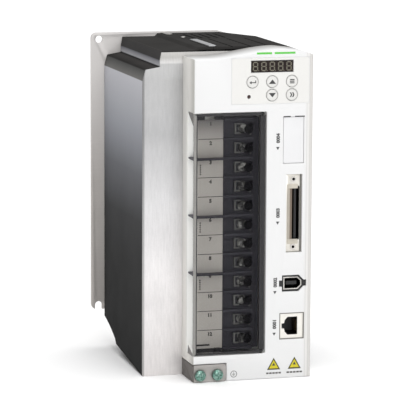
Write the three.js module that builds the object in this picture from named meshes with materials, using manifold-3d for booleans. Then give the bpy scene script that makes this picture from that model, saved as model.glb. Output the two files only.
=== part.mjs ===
// Servo drive for a cabinet wall, as an assembly of separate pieces.
// Millimetres. The front faces -Y, +X is to the right and +Z is up.
// Design coordinates: x from the left side of the case, y back from the front face,
// z up from the foot. The last lines move the origin to the bottom centre of the whole box.

import * as THREE from 'three';
import { mergeVertices } from 'three/addons/utils/BufferGeometryUtils.js';
import Module from 'manifold-3d';

const wasm = await Module();
wasm.setup();

// ---------------------------------------------------------------- driving dimensions

const GAP = 0.3;                 // air left between neighbouring pieces
const WALL = 2;                  // moulded wall thickness
const CURVE = 6;                 // segments in one rounded corner

const bodyWidth = 111.4;         // case and front housing, left side to right side
const shoulderZ = 203.2;         // top of the flat left side
const caseTop = 223.2;           // flat top, left of the raised vent
const ventTop = 225.2;           // raised vent half of the top
const frontPanelY = 28.7;        // metal front panel behind the front housing
const panelThickness = 1.5;
const caseFrontY = frontPanelY + panelThickness + GAP;
const plateY = 137.5;            // front face of the mounting plate
const plateThickness = 2;
const caseBackY = plateY - GAP;

const bezelLeft = 27.9;
const bezelBackY = frontPanelY - GAP;
const bezelWall = 2;
const archTop = 225.6;

const recess = { left: bezelLeft, right: 78.9, bottom: 18.0, top: 183.8, floorY: 17.5 };
const cover = { left: 27.9, right: 78.5, bottom: 18.4, top: 183.4, front: 2, rimDepth: 7, hingeRadius: 2.3 };
const terminal = { count: 12, pitch: 13.1, topZ: 171.5, low: 20.1, x: 65, left: 51.4, right: 71.6, baseRight: 77 };
const ground = { right: 51.1, top: 12.0, thickness: 1.5, screwZ: 4.9, screwXs: [32.8, 45.0] };

const keyRadius = 3.85;
const keyPositions = {
  key_enter: [68.4, 203.9],
  key_up: [82.2, 203.9],
  key_mode: [96.1, 203.9],
  key_down: [82.2, 194.8],
  key_shift: [96.1, 194.8],
};
const display = { left: 67.2, right: 97.2, bottom: 210.1, top: 218.4 };
const lamp = { x: 66.0, z: 194.0 };

const mdr = { x: 98.6, z: 113.7, width: 10.8, height: 53.1, slotX: 100.3, slotWidth: 5.4, slotHeight: 37.2, holePitch: 46.5 };
const bus = { x: 98.2, z: 65.6, width: 13, height: 8.8, wall: 0.8, room: 1.3, corner: 2.8 };
const jack = { x: 97.6, z: 36.1, width: 16.4, height: 17.1, depth: 21 };
const option = { x0: 90.3, x1: 105.1, z0: 148.0, z1: 179.8 };
const boardY = 31.5;             // control board, behind the front panel's window
const powerBoardY = 60;
const sinkY = 88;                // front face of the heat sink's base
const fan = { x: 58, y: 112, size: 40, bottom: 204, height: 12 };

// ---------------------------------------------------------------- solids

const axisMatrices = {
  xz: new THREE.Matrix4().makeBasis(
    new THREE.Vector3(1, 0, 0), new THREE.Vector3(0, 0, 1), new THREE.Vector3(0, -1, 0)),
  yz: new THREE.Matrix4().makeBasis(
    new THREE.Vector3(0, 1, 0), new THREE.Vector3(0, 0, 1), new THREE.Vector3(1, 0, 0)),
  xy: new THREE.Matrix4(),
};

function toSolid(geometry) {
  const plain = geometry.clone();
  plain.deleteAttribute('normal');
  plain.deleteAttribute('uv');
  const merged = mergeVertices(plain, 1e-4);
  return new wasm.Manifold(new wasm.Mesh({
    numProp: 3,
    vertProperties: new Float32Array(merged.attributes.position.array),
    triVerts: new Uint32Array(merged.index.array),
  }));
}

function toGeometry(solid) {
  const mesh = solid.getMesh();
  const geometry = new THREE.BufferGeometry();
  geometry.setAttribute('position', new THREE.BufferAttribute(new Float32Array(mesh.vertProperties), 3));
  geometry.setIndex(new THREE.BufferAttribute(new Uint32Array(mesh.triVerts), 1));
  return geometry;
}

function box(x0, x1, y0, y1, z0, z1) {
  const geometry = new THREE.BoxGeometry(x1 - x0, y1 - y0, z1 - z0);
  geometry.translate((x0 + x1) / 2, (y0 + y1) / 2, (z0 + z1) / 2);
  return toSolid(geometry);
}

function outline(points) {
  return new THREE.Shape(points.map(([a, b]) => new THREE.Vector2(a, b)));
}

function roundedRect(a0, a1, b0, b1, radius) {
  const shape = new THREE.Shape();
  shape.absarc(a1 - radius, b0 + radius, radius, -Math.PI / 2, 0);
  shape.absarc(a1 - radius, b1 - radius, radius, 0, Math.PI / 2);
  shape.absarc(a0 + radius, b1 - radius, radius, Math.PI / 2, Math.PI);
  shape.absarc(a0 + radius, b0 + radius, radius, Math.PI, 1.5 * Math.PI);
  return shape;
}

// Extrudes a shape drawn in one plane along the plane's third axis, from low to high.
function prism(plane, shape, low, high, bevel = 0) {
  const geometry = new THREE.ExtrudeGeometry(shape, {
    depth: high - low - 2 * bevel,
    bevelEnabled: bevel > 0,
    bevelThickness: bevel,
    bevelSize: bevel,
    bevelOffset: -bevel,
    bevelSegments: 2,
    curveSegments: CURVE,
  });
  geometry.translate(0, 0, bevel);
  geometry.applyMatrix4(axisMatrices[plane]);
  if (plane === 'xz') geometry.translate(0, high, 0);
  if (plane === 'yz') geometry.translate(low, 0, 0);
  if (plane === 'xy') geometry.translate(0, 0, low);
  return toSolid(geometry);
}

// A round bar along one axis; the centre is given on the two other axes in x, y, z order.
function rod(axis, radius, low, high, a, b, sides = 24) {
  const geometry = new THREE.CylinderGeometry(radius, radius, high - low, sides);
  const middle = (low + high) / 2;
  if (axis === 'x') geometry.rotateZ(Math.PI / 2).translate(middle, a, b);
  if (axis === 'y') geometry.translate(a, middle, b);
  if (axis === 'z') geometry.rotateX(Math.PI / 2).translate(a, b, middle);
  return toSolid(geometry);
}

// A turned piece about the Y axis: profile pairs are [radius, distance behind the front].
function turnedAlongY(profile, x, y, z, sides = 24) {
  const points = profile.map(([radius, back]) => new THREE.Vector2(radius, back));
  const geometry = new THREE.LatheGeometry(points, sides);
  geometry.translate(x, y, z);
  const solid = toSolid(geometry);
  return solid.volume() > 0 ? solid : toSolid(flipped(geometry));
}

function flipped(geometry) {
  const turned = geometry.clone();
  const index = turned.index.array;
  for (let i = 0; i < index.length; i += 3) {
    [index[i], index[i + 1]] = [index[i + 1], index[i]];
  }
  return turned;
}

function union(solids) {
  return solids.reduce((sum, next) => sum.add(next));
}

function cut(solid, tools) {
  return tools.reduce((left, tool) => left.subtract(tool), solid);
}

// ---------------------------------------------------------------- materials and the assembly

function finish(color, roughness, metalness) {
  return new THREE.MeshStandardMaterial({ color, roughness, metalness });
}

const whitePlastic = finish(0xf0efec, 0.45, 0);
const darkShell = finish(0x3c3b3a, 0.4, 0.1);
const brushedMetal = finish(0xc8c8ca, 0.38, 0.9);
const plateMetal = finish(0x949088, 0.45, 0.9);
const smokedPlastic = finish(0x3a393d, 0.15, 0);
const blackPlastic = finish(0x222222, 0.5, 0);
const terminalPlastic = finish(0x2e2d30, 0.45, 0);
const greenZinc = finish(0x5f9c88, 0.35, 0.8);
const steel = finish(0xb8b8b8, 0.35, 0.9);
const aluminium = finish(0xc2c4c6, 0.4, 0.9);
const boardGreen = finish(0x1f5a38, 0.5, 0);
const displayDark = finish(0x1b1718, 0.2, 0);
const sleeveBlue = finish(0x24314f, 0.4, 0);
const membraneWhite = finish(0xf7f6f3, 0.5, 0);
const labelWhite = finish(0xdedcd8, 0.5, 0);
const lampRed = finish(0x50201c, 0.25, 0);

const design = new THREE.Group();

function piece(name, solid, material) {
  const mesh = new THREE.Mesh(toGeometry(solid), material);
  mesh.name = name;
  design.add(mesh);
}

// ---------------------------------------------------------------- case

const caseOutline = [
  [0, 0], [bodyWidth - 0.2, 0], [bodyWidth - 0.2, ventTop - 3.5], [101, ventTop],
  [39, ventTop], [37, caseTop], [13.2, caseTop], [12, 216.8], [12, 212.4], [2.1, 210.7], [0, shoulderZ],
];
const caseInside = [
  [WALL, WALL], [bodyWidth - 2.2, WALL], [bodyWidth - 2.2, ventTop - 4.9], [100.6, ventTop - WALL],
  [39.8, ventTop - WALL], [37.8, caseTop - WALL], [14.9, caseTop - WALL], [14, 216.8], [14, 210.5],
  [3.8, 209], [WALL, shoulderZ],
];
const seamX = 50;                // joint between the two halves of the case

// Seen from above: the right side leans in towards the back and is cut off at the rear corner.
function caseFromAbove(inset, frontY, backY) {
  return outline([
    [inset - 1, frontY], [bodyWidth - inset, frontY], [110.5 - inset, 78], [84 - inset, backY], [inset - 1, backY],
  ]);
}

// Seen from the side: the underside is level, then curves up towards the back.
function caseFromSide(lift, frontY, backY) {
  const shape = new THREE.Shape();
  shape.moveTo(frontY, lift);
  shape.lineTo(97, lift);
  shape.bezierCurveTo(101, lift, 101, 8 + lift, 106, 11 + lift);
  shape.bezierCurveTo(113, 14.5 + lift, 124, 19 + lift, backY, 22 + lift);
  shape.lineTo(backY, 240);
  shape.lineTo(frontY, 240);
  return shape;
}

// The lower left edge is cut off by a sloping plane that starts at the front corner.
function taperLowerLeft(solid, inset) {
  const slope = new THREE.Vector3(0.843, -0.1078, 1);
  const length = slope.length();
  const start = slope.y * caseFrontY / length;
  return solid.trimByPlane(slope.normalize().toArray(), start + inset);
}

function caseShell() {
  const outer = prism('xz', outline(caseOutline), caseFrontY, caseBackY)
    .intersect(prism('xy', caseFromAbove(0, caseFrontY - 1, caseBackY + 1), -5, 250))
    .intersect(prism('yz', caseFromSide(0, caseFrontY - 1, caseBackY + 1), -5, bodyWidth + 5));
  const inner = prism('xz', outline(caseInside), caseFrontY - 2, caseBackY + 2)
    .intersect(prism('xy', caseFromAbove(WALL, caseFrontY - 3, caseBackY + 3), -5, 250))
    .intersect(prism('yz', caseFromSide(WALL, caseFrontY - 3, caseBackY + 3), -5, bodyWidth + 5));
  return taperLowerLeft(outer, 0).subtract(taperLowerLeft(inner, WALL));
}

function slotRow(count, firstX, pitch, width, y0, y1, z0, z1) {
  const slots = [];
  for (let i = 0; i < count; i += 1) {
    const x = firstX + i * pitch;
    slots.push(prism('xy', roundedRect(x, x + width, y0, y1, width / 2 - 0.01), z0, z1));
  }
  return slots;
}

function makeCase() {
  const shell = caseShell();
  const seam = GAP / 2;
  const left = shell.intersect(box(-20, seamX - seam, 0, 200, -20, 260));
  const right = shell.intersect(box(seamX + seam, 200, 0, 200, -20, 260));
  const topSlots = slotRow(5, 53.5, 5.6, 2, 94, 126, 215, 230);
  const bottomSlots = slotRow(6, 58, 7.2, 3.4, 40, 84, -5, 8);
  const leftSlots = slotRow(4, 14, 8, 3.4, 40, 84, -5, 8);
  const grooves = [];
  for (let i = 0; i < 3; i += 1) {
    grooves.push(box(62 + 13 * i, 63.6 + 13 * i, caseFrontY - 1, 88, ventTop - 0.8, ventTop + 1));
  }
  piece('case_left_half', cut(left, leftSlots), darkShell);
  piece('case_right_half', cut(right, [...topSlots, ...bottomSlots, ...grooves]), darkShell);
}

function makeSeamStrip() {
  const z = ventTop + GAP;
  piece('top_seam_strip', prism('xy', roundedRect(46.8, 52.2, 31.5, 80, 1), z, z + 0.5), aluminium);
}

function makeFrontPanel() {
  const front = outline([
    [0, 0], [bodyWidth - 0.4, 0], [bodyWidth - 0.4, 218], [106, 222.2], [13.1, 222.2], [12, 216.8], [12, 212.4],
    [2.1, 210.7], [0, shoulderZ],
  ]);
  const sheet = prism('xz', front, frontPanelY, frontPanelY + panelThickness);
  const window = prism('xz', roundedRect(50, 106, 14, 205, 2), frontPanelY - 1, frontPanelY + 3);
  const topBevel = prism('yz', outline([
    [frontPanelY - 1, 216.9], [frontPanelY, 216.9], [frontPanelY + 1, 223], [frontPanelY - 1, 223],
  ]), -5, bodyWidth + 5);
  piece('front_panel', cut(sheet, [window, topBevel]), brushedMetal);
}

function makeMountingPlate() {
  const y0 = plateY;
  const y1 = plateY + plateThickness;
  const sheet = prism('xz', roundedRect(-9.6, 93, 26.7, 226.4, 4), y0, y1);
  const hole = rod('y', 2.6, y0 - 1, y1 + 1, -3.8, 221.6);
  const slotX = -4.3;
  const slot = union([
    rod('y', 2.6, y0 - 1, y1 + 1, slotX, 29.8),
    box(slotX - 2.6, slotX + 2.6, y0 - 1, y1 + 1, 20, 29.8),
  ]);
  const corner = prism('xz', outline([[83, 226.5], [94, 223.4], [94, 228], [83, 228]]), y0 - 1, y1 + 1);
  piece('mounting_plate', cut(sheet, [hole, slot, corner]), plateMetal);
}

// ---------------------------------------------------------------- front housing

// The top edge is level at the left, then swells into a low arch above the display.
function bezelShape(inset) {
  const left = bezelLeft + inset;
  const right = bodyWidth - inset;
  const shape = new THREE.Shape();
  const archPoints = [
    [bodyWidth, 221.6], [103.6, 224], [95, 225.2], [87, archTop], [75, 224.5], [63, 222.6], [52, 220.8], [42, 219.9],
  ];
  shape.moveTo(ground.right + GAP + (inset ? 1.5 : 0), inset);
  shape.lineTo(right, inset);
  const arch = archPoints.map(([x, z]) => new THREE.Vector2(Math.min(x, right), z - inset));
  shape.lineTo(arch[0].x, arch[0].y);
  shape.splineThru(arch.slice(1));
  shape.lineTo(left, 219.8 - inset);
  shape.lineTo(left, ground.top + GAP + inset);
  shape.lineTo(ground.right + GAP + (inset ? 1.5 : 0), ground.top + GAP + inset);
  return shape;
}

function makeBezel() {
  const back = bezelBackY;
  const outside = prism('xz', bezelShape(0), 0, back + 8, 1.2).intersect(box(0, 200, -5, back, -5, 240));
  const inside = prism('xz', bezelShape(bezelWall), bezelWall, back + 20);
  const tub = box(bezelLeft, recess.right + 1.6, 1, recess.floorY + 1.6, recess.bottom - 1.6, recess.top + 1.6);
  const shell = outside.subtract(inside).add(tub.intersect(outside));
  const pocket = prism('xz', roundedRect(recess.left - 12, recess.right, recess.bottom, recess.top, 1),
    -5, recess.floorY);
  // The open left side of the terminal space keeps a diagonal web at its top and bottom corner.
  const webs = [
    prism('yz', outline([[-1, recess.top + 1], [-1, 174.2], [0.8, 174.2], [14, 182.8], [14, recess.top + 1]]),
      bezelLeft, bezelLeft + 1.6),
    prism('yz', outline([[-1, 17], [14, 17], [13, 24], [0.8, 18.9], [-1, 18.9]]), bezelLeft, bezelLeft + 1.6),
  ].map((web) => web.intersect(box(0, 200, cover.front + GAP, recess.floorY, -5, 240)));
  const blockWindow = box(terminal.left - GAP, terminal.baseRight + GAP, 10, 25,
    terminal.low - GAP, terminalTop() + GAP);
  const openings = [
    pocket.subtract(union(webs)),
    blockWindow,
    box(display.left + 1.4, display.right - 1.3, -1, 6, display.bottom + 0.8, display.top - 0.8),
    box(53.6, 108.7, -1, 0.8, 188.9, 220.3),
    rod('y', 1.3, -1, 6, lamp.x, lamp.z),
    box(mdr.x - mdr.width / 2 - GAP, mdr.x + mdr.width / 2 + GAP, -1, 9,
      mdr.z - mdr.height / 2 - GAP, mdr.z + mdr.height / 2 + GAP),
    prism('xz', busOutline(bus.room), -1, 9),
    box(bus.x - bus.width / 2 - 3.4, bus.x + bus.width / 2 + 3.1, -1, 9, bus.z - 2.2, bus.z + 2.2),
    box(jack.x - jack.width / 2 - GAP, jack.x + jack.width / 2 + GAP, -1, 9,
      jack.z - jack.height / 2 - GAP, jack.z + jack.height / 2 + GAP),
    box(option.x0, option.x1, -1, 9, option.z0, option.z1),
    rod('z', 1.3, recess.bottom - 3, recess.bottom + 1, cover.right - cover.hingeRadius, cover.hingeRadius, 16),
    rod('z', 1.3, recess.top - 1, recess.top + 3, cover.right - cover.hingeRadius, cover.hingeRadius, 16),
    ...Object.values(keyPositions).map(([x, z]) => rod('y', keyRadius + GAP, -1, 6, x, z)),
  ];
  piece('front_housing', cut(shell, openings), whitePlastic);
}

// ---------------------------------------------------------------- hinged terminal cover

function makeTerminalCover() {
  const { left, right, bottom, top, front, rimDepth, hingeRadius } = cover;
  const axisX = right - hingeRadius;
  const face = prism('xz', roundedRect(left - 10, right, bottom, top, 2.4), 0, rimDepth)
    .intersect(box(left, right, 0, rimDepth, 0, 240));
  const hollow = box(left - 1, right - 1.6, front, rimDepth + 1, bottom + 1.6, top - 1.6);
  const barrel = rod('z', hingeRadius, bottom + 2, top - 2, axisX, hingeRadius, 32);
  const sharpEdge = box(axisX, right + 1, -1, hingeRadius, 0, 240);
  const pinHoles = [
    rod('z', 1.3, bottom - 1, bottom + 8, axisX, hingeRadius, 16),
    rod('z', 1.3, top - 8, top + 1, axisX, hingeRadius, 16),
  ];
  const pull = box(44, 48, 0.4, 5, bottom + 1, bottom + 4.5);
  const slot = box(34.1, 42.5, -1, 3, 20.0, 21.6);
  const webRoom = box(left - 1, left + 2, front, rimDepth + 1, bottom - 1, top + 1);
  const body = face.subtract(hollow).subtract(webRoom).subtract(sharpEdge).add(barrel).add(pull).subtract(slot);
  piece('terminal_cover', cut(body, pinHoles), smokedPlastic);
}

function makeHingePins() {
  const x = cover.right - cover.hingeRadius;
  const y = cover.hingeRadius;
  piece('hinge_pin_lower', rod('z', 1.0, cover.bottom - 1.8, cover.bottom + 7, x, y, 16), steel);
  piece('hinge_pin_upper', rod('z', 1.0, cover.top - 7, cover.top + 1.8, x, y, 16), steel);
}

// ---------------------------------------------------------------- power terminals

function terminalZ(index) {
  return terminal.topZ - index * terminal.pitch;
}

function terminalTop() {
  return terminalZ(0) + terminal.pitch / 2 + 0.8;
}

function makeTerminalBlock() {
  const { left, right, baseRight, pitch, count, low, x } = terminal;
  const base = box(left, baseRight, 12, 26, low, terminalTop());
  const solids = [base];
  const pockets = [];
  for (let i = 0; i <= count; i += 1) {
    const z = terminalZ(0) + pitch / 2 - i * pitch;
    solids.push(box(left, right, 7.5, 13, Math.max(z - 0.8, low), Math.max(z, low) + 0.8));
  }
  for (let i = 0; i < count; i += 1) {
    const z = terminalZ(i);
    pockets.push(box(left - 1, x - 4.2, 10, 12.3, z - pitch / 2 + 0.8, z + pitch / 2 - 0.8));
    pockets.push(rod('y', 1.9, 10, 21, x, z, 16));
    pockets.push(box(right - 3.2, right + 1, 10, 20, z - 3.2, z + 3.2));
  }
  piece('terminal_block', cut(union(solids), pockets), terminalPlastic);
}

function makeTerminalScrews() {
  const head = 3.4;
  const profile = [[0, 0], [2.6, 0], [head, 0.7], [head, 2.2], [1.55, 2.2], [1.55, 10], [0, 10]];
  for (let i = 0; i < terminal.count; i += 1) {
    const crossZ = terminalZ(i);
    const screw = turnedAlongY(profile, terminal.x, 9.5, crossZ);
    const slotA = box(terminal.x - 2.1, terminal.x + 2.1, 9, 10.6, crossZ - 0.45, crossZ + 0.45);
    const slotB = box(terminal.x - 0.45, terminal.x + 0.45, 9, 10.6, crossZ - 2.1, crossZ + 2.1);
    piece(`terminal_screw_${i + 1}`, cut(screw, [slotA, slotB]), steel);
  }
}

function makeLabelCarrier() {
  const high = terminalZ(0) + terminal.pitch / 2;
  piece('terminal_label_carrier', box(33.6, terminal.left - GAP, 10, 11.6, terminal.low, high), labelWhite);
  const groupEnds = [2, 5, 8];
  groupEnds.forEach((after, index) => {
    const z = terminalZ(after - 1) - terminal.pitch / 2;
    const bar = box(28.8, terminal.left - GAP - 0.2, 3.2, 9.6, z - 0.5, z + 0.5);
    const foot = box(28.8, 33.2, 9, 17.1, z - 0.5, z + 0.5);
    piece(`group_divider_${index + 1}`, bar.add(foot), blackPlastic);
  });
}

// ---------------------------------------------------------------- earth terminal

function makeGroundBracket() {
  const { right, top, thickness, screwZ, screwXs } = ground;
  const face = prism('xz', roundedRect(bezelLeft, right, 0, top, 1.5), 0, thickness);
  const side = box(bezelLeft, bezelLeft + thickness, 0.4, bezelBackY, 0.4, top - 0.4);
  const holes = screwXs.map((x) => rod('y', 2.3, -1, thickness + 1, x, screwZ));
  const seats = screwXs.map((x) => rod('y', 4.1, -1, 0.2, x, screwZ));
  piece('ground_bracket', cut(face.add(side), [...holes, ...seats]), plateMetal);
}

function makeGroundScrews() {
  const profile = [[0, -2.6], [2.2, -2.5], [3.7, -1.6], [3.7, -GAP], [2.0, -GAP], [2.0, 9], [0, 9]];
  const names = ['ground_screw_left', 'ground_screw_right'];
  ground.screwXs.forEach((x, index) => {
    const z = ground.screwZ;
    const screw = turnedAlongY(profile, x, 0, z);
    const slotA = box(x - 2.2, x + 2.2, -3, -1.3, z - 0.5, z + 0.5);
    const slotB = box(x - 0.5, x + 0.5, -3, -1.3, z - 2.2, z + 2.2);
    piece(names[index], cut(screw, [slotA, slotB]), greenZinc);
  });
}

// ---------------------------------------------------------------- operator panel

function makeOperatorPanel() {
  const { left, right, bottom, top } = display;
  const sheet = prism('xz', roundedRect(54.0, 108.3, 189.2, 220.0, 1), -0.1, 0.5);
  const holes = Object.values(keyPositions).map(([x, z]) => rod('y', keyRadius + GAP, -1, 2, x, z));
  const displayHole = box(left, right, -1, 2, bottom, top);
  const lampHole = rod('y', 1.3, -1, 2, lamp.x, lamp.z);
  piece('keypad_overlay', cut(sheet, [...holes, displayHole, lampHole]), membraneWhite);

  const lens = box(left + GAP, right - GAP, 0, 0.5, bottom + GAP, top - GAP);
  const lensBack = box(left + 1.7, right - 1.6, 0.4, 3.4, bottom + 1.1, top - 1.1);
  piece('display_window', lens.add(lensBack), displayDark);
  piece('display_module', box(left + 1.9, right - 1.8, 3.8, 12, bottom - 0.9, top + 0.8), blackPlastic);

  Object.entries(keyPositions).forEach(([name, [x, z]]) => {
    const profile = [[0, -0.7], [3.3, -0.7], [keyRadius, -0.3], [keyRadius, 3], [0, 3]];
    piece(name, turnedAlongY(profile, x, 0, z, 32), membraneWhite);
    piece(name.replace('key_', 'switch_'), box(x - 3, x + 3, 4.2, 9, z - 3, z + 3), blackPlastic);
  });

  const lampProfile = [[0, -0.1], [0.7, 0], [1.0, 0.4], [1.0, 6], [0, 6]];
  piece('charge_lamp', turnedAlongY(lampProfile, lamp.x, 0, lamp.z, 16), lampRed);
}

// ---------------------------------------------------------------- connectors

function makeControlConnector() {
  const { x, z, width, height, slotX, slotWidth, slotHeight, holePitch } = mdr;
  const shell = box(x - width / 2, x + width / 2, 2.2, 22, z - height / 2, z + height / 2);
  const mouth = roundedRect(slotX - slotWidth / 2, slotX + slotWidth / 2,
    z - slotHeight / 2, z + slotHeight / 2, 1.2);
  const holes = [-1, 1].map((side) => rod('y', 1.4, 1, 14, x, z + side * holePitch / 2, 16));
  piece('control_connector_shell', cut(shell, [prism('xz', mouth, 1, 12), ...holes]), steel);
  const tongue = box(slotX - 0.8, slotX + 0.8, 4, 11.6, z - slotHeight / 2 + 1.2, z + slotHeight / 2 - 1.2);
  piece('control_connector_tongue', tongue, blackPlastic);
}

// The serial bus socket is square at its left and has two cut corners at its right.
function busOutline(grow) {
  const { x, z, width, height, corner } = bus;
  const w = width / 2 + grow;
  const h = height / 2 + grow;
  const c = corner + grow * 0.6;
  return outline([
    [x - w, z - h], [x + w - c, z - h], [x + w, z - h + c], [x + w, z + h - c], [x + w - c, z + h], [x - w, z + h],
  ]);
}

function makeBusSocket() {
  const { x, z, width, wall } = bus;
  const block = prism('xz', busOutline(0), 1.0, 18);
  const w = width / 2 - wall;
  piece('bus_socket_shell', cut(block, [prism('xz', busOutline(-wall), 0, 10)]), steel);
  piece('bus_socket_tongue', box(x - w + 1.4, x + w - 2.4, 2.6, 9.6, z - 1.2, z + 1.2), blackPlastic);
}

// The eight-way jack lies on its side, with the latch way towards the middle of the drive.
function makeNetworkJack() {
  const { x, z, width, height, depth } = jack;
  const block = box(x - width / 2, x + width / 2, 0.6, depth, z - height / 2, z + height / 2);
  const upperHalf = [[x + 4.2, z + 6.2], [x - 2.8, z + 6.2], [x - 4.8, z + 4.0], [x - 5.2, z + 1.9], [x - 7.0, z + 1.7]];
  const lowerHalf = upperHalf.map(([a, b]) => [a, 2 * z - b]).reverse();
  const mouth = outline([...upperHalf, ...lowerHalf]);
  piece('network_jack', cut(block, [prism('xz', mouth, -1, 14)]), steel);
}

function makeOptionCover() {
  const { x0, x1, z0, z1 } = option;
  const plate = prism('xz', roundedRect(x0 + GAP, x1 - GAP, z0 + GAP, z1 - GAP, 0.6), 0.1, 1.8);
  const clip = box(x0 + 4, x1 - 4, 1, 6, z0 + 3, z1 - 3);
  piece('option_cover', plate.add(clip), whitePlastic);
}

// ---------------------------------------------------------------- inside

function makeBoards() {
  const control = box(52, 108, boardY, boardY + 1.6, 22, 214);
  const power = box(6, 105, powerBoardY, powerBoardY + 1.6, 10, 198);
  piece('control_board', control, boardGreen);
  piece('power_board', power, boardGreen);
}

function makeHeatSink() {
  const solids = [box(4, 78, sinkY, sinkY + 6, 30, 200)];
  for (let i = 0; i < 9; i += 1) {
    const x = 4 + i * 8.25;
    solids.push(box(x, x + 2.2, sinkY + 5, plateY - 2, 30, 200));
  }
  piece('heat_sink', union(solids), aluminium);
  piece('power_module', box(10, 76, sinkY - 18, sinkY - GAP, 70, 150), blackPlastic);
}

function makeCapacitors() {
  [44, 80, 116].forEach((z, index) => {
    const profile = [[0, 0], [12.4, 0], [13, 0.8], [13, 26], [0, 26]];
    piece(`bus_capacitor_${index + 1}`, turnedAlongY(profile, 22, 33.2, z), sleeveBlue);
  });
  piece('inrush_relay', box(12, 32, 38, 59.2, 150, 178), blackPlastic);
  piece('brake_resistor', box(70, 94, 44, 59.2, 20, 60), aluminium);
}

function makeFan() {
  const { x, y, size, bottom, height } = fan;
  const half = size / 2;
  const frame = cut(box(x - half, x + half, y - half, y + half, bottom, bottom + height), [
    rod('z', 18.6, bottom - 1, bottom + height + 1, x, y, 40),
  ]);
  const spider = union([
    box(x - half + 0.5, x + half - 0.5, y - 0.8, y + 0.8, bottom, bottom + 1.6),
    box(x - 0.8, x + 0.8, y - half + 0.5, y + half - 0.5, bottom, bottom + 1.6),
    rod('z', 9, bottom, bottom + 1.6, x, y),
  ]);
  piece('fan_frame', frame.add(spider), blackPlastic);

  const solids = [rod('z', 9.5, bottom + 2.4, bottom + height - 0.6, x, y, 32)];
  for (let i = 0; i < 7; i += 1) {
    const blade = new THREE.BoxGeometry(9.5, 1.1, 8.6);
    blade.rotateX(0.62).translate(13, 0, bottom + height / 2 + 0.9);
    blade.rotateZ((i * 2 * Math.PI) / 7).translate(x, y, 0);
    solids.push(toSolid(blade));
  }
  piece('fan_rotor', union(solids), blackPlastic);
}

// ---------------------------------------------------------------- build

makeMountingPlate();
makeCase();
makeSeamStrip();
makeFrontPanel();
makeBezel();
makeTerminalCover();
makeHingePins();
makeTerminalBlock();
makeTerminalScrews();
makeLabelCarrier();
makeGroundBracket();
makeGroundScrews();
makeOperatorPanel();
makeControlConnector();
makeBusSocket();
makeNetworkJack();
makeOptionCover();
makeBoards();
makeHeatSink();
makeCapacitors();
makeFan();

const bounds = new THREE.Box3().setFromObject(design);
const centre = bounds.getCenter(new THREE.Vector3());
design.position.set(-centre.x, -centre.y, -bounds.min.z);

const servoDrive = new THREE.Group();
servoDrive.add(design);

export default servoDrive;
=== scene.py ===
"""Studio picture of a servo drive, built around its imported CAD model. Metres, front faces -Y."""

from math import cos, radians, sin, tau

import bmesh
import bpy
from mathutils import Matrix, Vector


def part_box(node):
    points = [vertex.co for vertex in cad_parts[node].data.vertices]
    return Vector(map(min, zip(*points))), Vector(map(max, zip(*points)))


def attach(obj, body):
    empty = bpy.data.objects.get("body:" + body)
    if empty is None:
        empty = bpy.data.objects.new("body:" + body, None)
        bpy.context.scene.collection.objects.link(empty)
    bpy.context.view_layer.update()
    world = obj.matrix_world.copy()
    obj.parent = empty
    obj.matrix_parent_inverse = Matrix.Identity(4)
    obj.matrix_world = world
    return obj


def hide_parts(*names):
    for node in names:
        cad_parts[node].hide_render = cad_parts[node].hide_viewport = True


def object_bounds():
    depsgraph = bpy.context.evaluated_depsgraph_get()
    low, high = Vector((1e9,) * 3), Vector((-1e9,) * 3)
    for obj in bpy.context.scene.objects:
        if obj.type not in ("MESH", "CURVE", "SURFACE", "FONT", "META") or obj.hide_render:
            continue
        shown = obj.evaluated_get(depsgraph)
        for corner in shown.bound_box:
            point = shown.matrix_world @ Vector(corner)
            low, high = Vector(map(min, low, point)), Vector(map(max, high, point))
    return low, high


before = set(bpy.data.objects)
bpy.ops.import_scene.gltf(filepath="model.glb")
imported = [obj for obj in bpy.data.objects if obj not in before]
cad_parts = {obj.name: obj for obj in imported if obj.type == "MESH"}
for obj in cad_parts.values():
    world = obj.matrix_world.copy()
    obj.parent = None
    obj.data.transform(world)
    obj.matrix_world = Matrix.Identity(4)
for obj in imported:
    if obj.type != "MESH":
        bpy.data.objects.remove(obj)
cad_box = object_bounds()

MM = 0.001
INK_DEPTH = 0.1 * MM         # how thick a printed mark is
SEGMENT_DEPTH = 0.06 * MM    # how thick a display segment is
KEYS = ("enter", "up", "mode", "down", "shift")
TERMINALS = range(1, 13)
housing_low, housing_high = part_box("front_housing")
scene = bpy.context.scene


def front_point(across, up, proud=0.0):
    """A point on the front face, in mm from the housing's lower left corner; proud stands out."""
    return Vector((housing_low.x + across * MM, housing_low.y - proud * MM, up * MM))


def box_centre(node):
    low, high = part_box(node)
    return (low + high) / 2


# ------------------------------------------------------------------ mesh helpers


def make_object(name, bm, material, body="root"):
    mesh = bpy.data.meshes.new(name)
    bm.to_mesh(mesh)
    bm.free()
    obj = bpy.data.objects.new(name, mesh)
    scene.collection.objects.link(obj)
    mesh.materials.clear()
    mesh.materials.append(material)
    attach(obj, body)
    return obj


def smooth(obj):
    """Shades softly, except where faces meet at more than 35 degrees."""
    for polygon in obj.data.polygons:
        polygon.use_smooth = True
    obj.data.set_sharp_from_angle(angle=radians(35))


def apply_modifiers(obj):
    depsgraph = bpy.context.evaluated_depsgraph_get()
    mesh = bpy.data.meshes.new_from_object(obj.evaluated_get(depsgraph))
    obj.modifiers.clear()
    obj.data = mesh


def bevel(obj, width):
    """Rounds the edges where faces meet at more than 30 degrees; width in mm."""
    modifier = obj.modifiers.new("edges", "BEVEL")
    modifier.width = width * MM
    modifier.segments = 2
    modifier.limit_method = "ANGLE"
    modifier.angle_limit = radians(30)
    modifier.use_clamp_overlap = True
    apply_modifiers(obj)


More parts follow.
